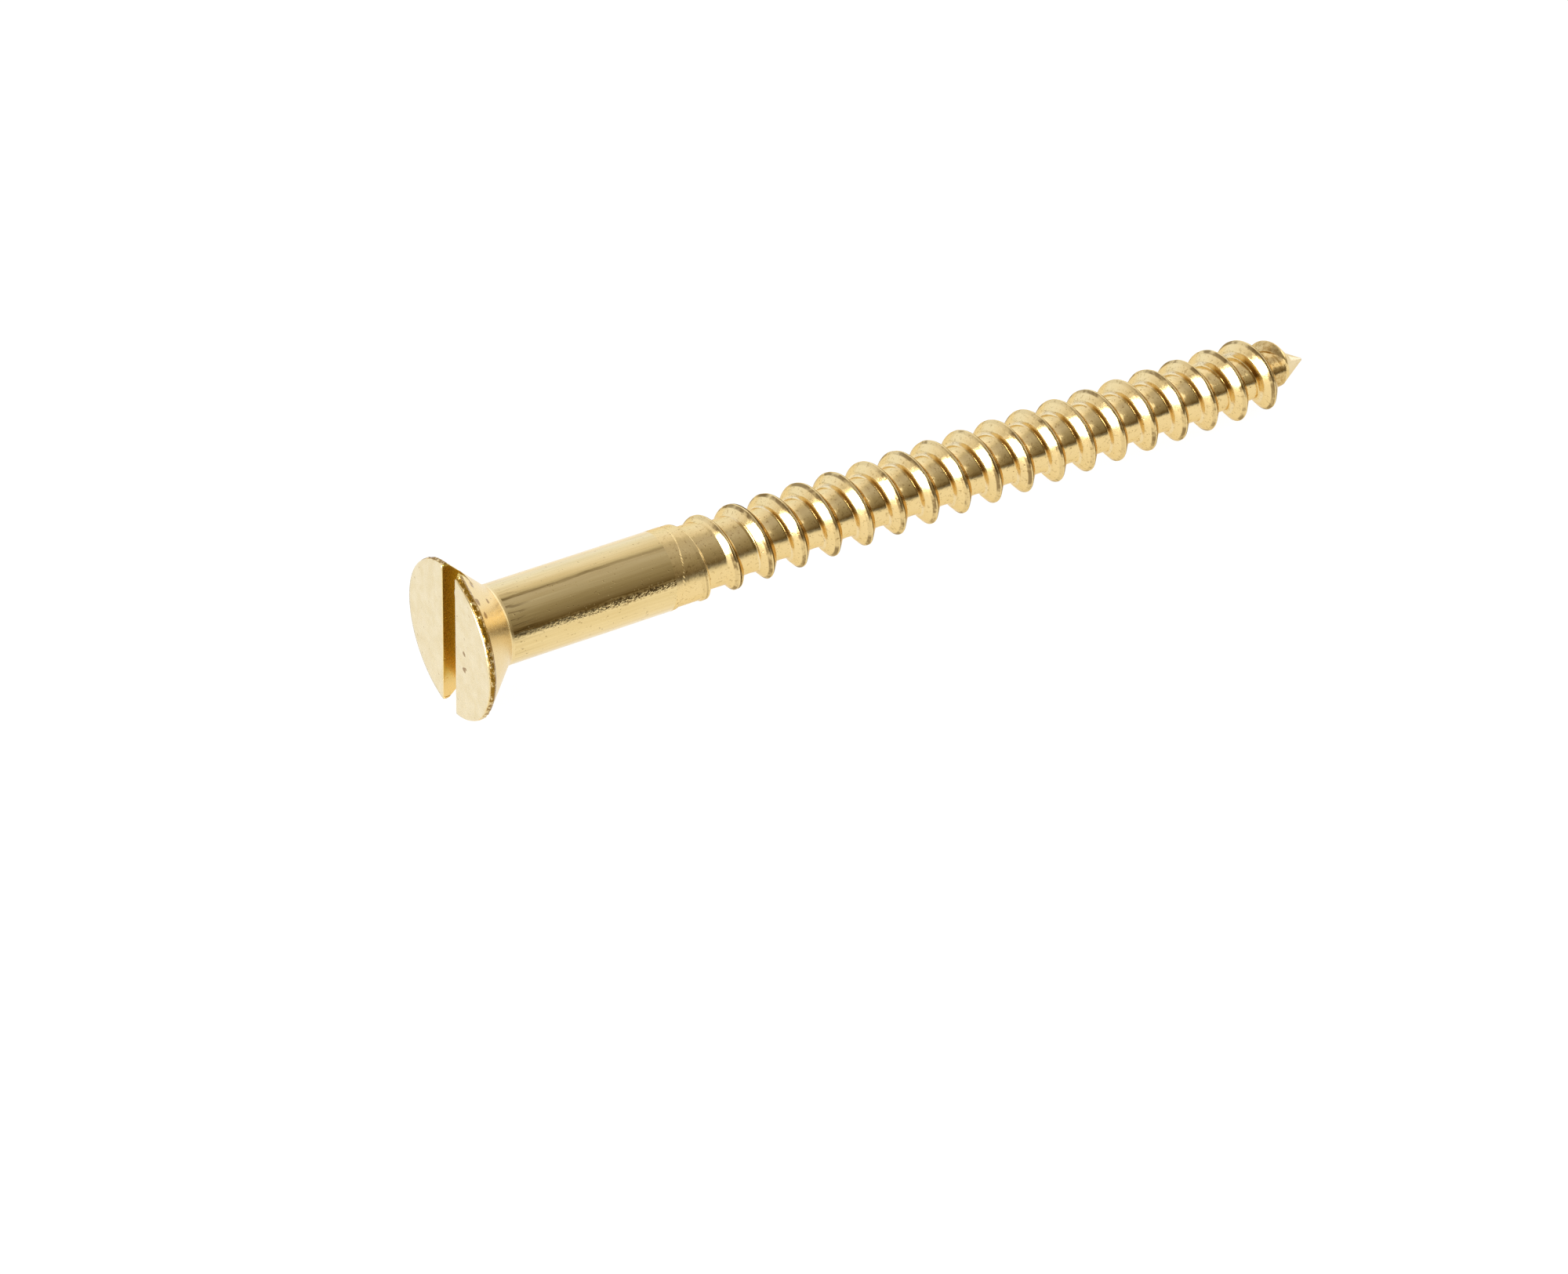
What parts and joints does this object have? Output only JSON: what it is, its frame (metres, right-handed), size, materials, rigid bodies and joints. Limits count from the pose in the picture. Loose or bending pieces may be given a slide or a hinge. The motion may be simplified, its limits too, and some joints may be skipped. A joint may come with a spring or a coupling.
{
  "type": "wood screw",
  "caption": "Slotted countersunk wood screw in solid brass, with a plain shank, a coarse right-hand thread and a sharp point.",
  "frame": {"origin": "centre of the head's flat face, on the screw's axis", "axes": "+X along the axis from the head to the point, +Z along the driver slot, so that the slot stands upright as the screw lies on a table"},
  "size_m": [0.0508, 0.0082, 0.0082],
  "materials": {
    "head_brass": "turned and tumbled, satin",
    "shank_brass": "bright drawn, polished",
    "thread_brass": "cut thread, satin with burred crests"
  },
  "bodies": {
    "root": {"countersunk_head": "head_brass", "plain_shank": "shank_brass", "threaded_shank": "thread_brass", "gimlet_point": "thread_brass"}
  },
  "joints": []
}
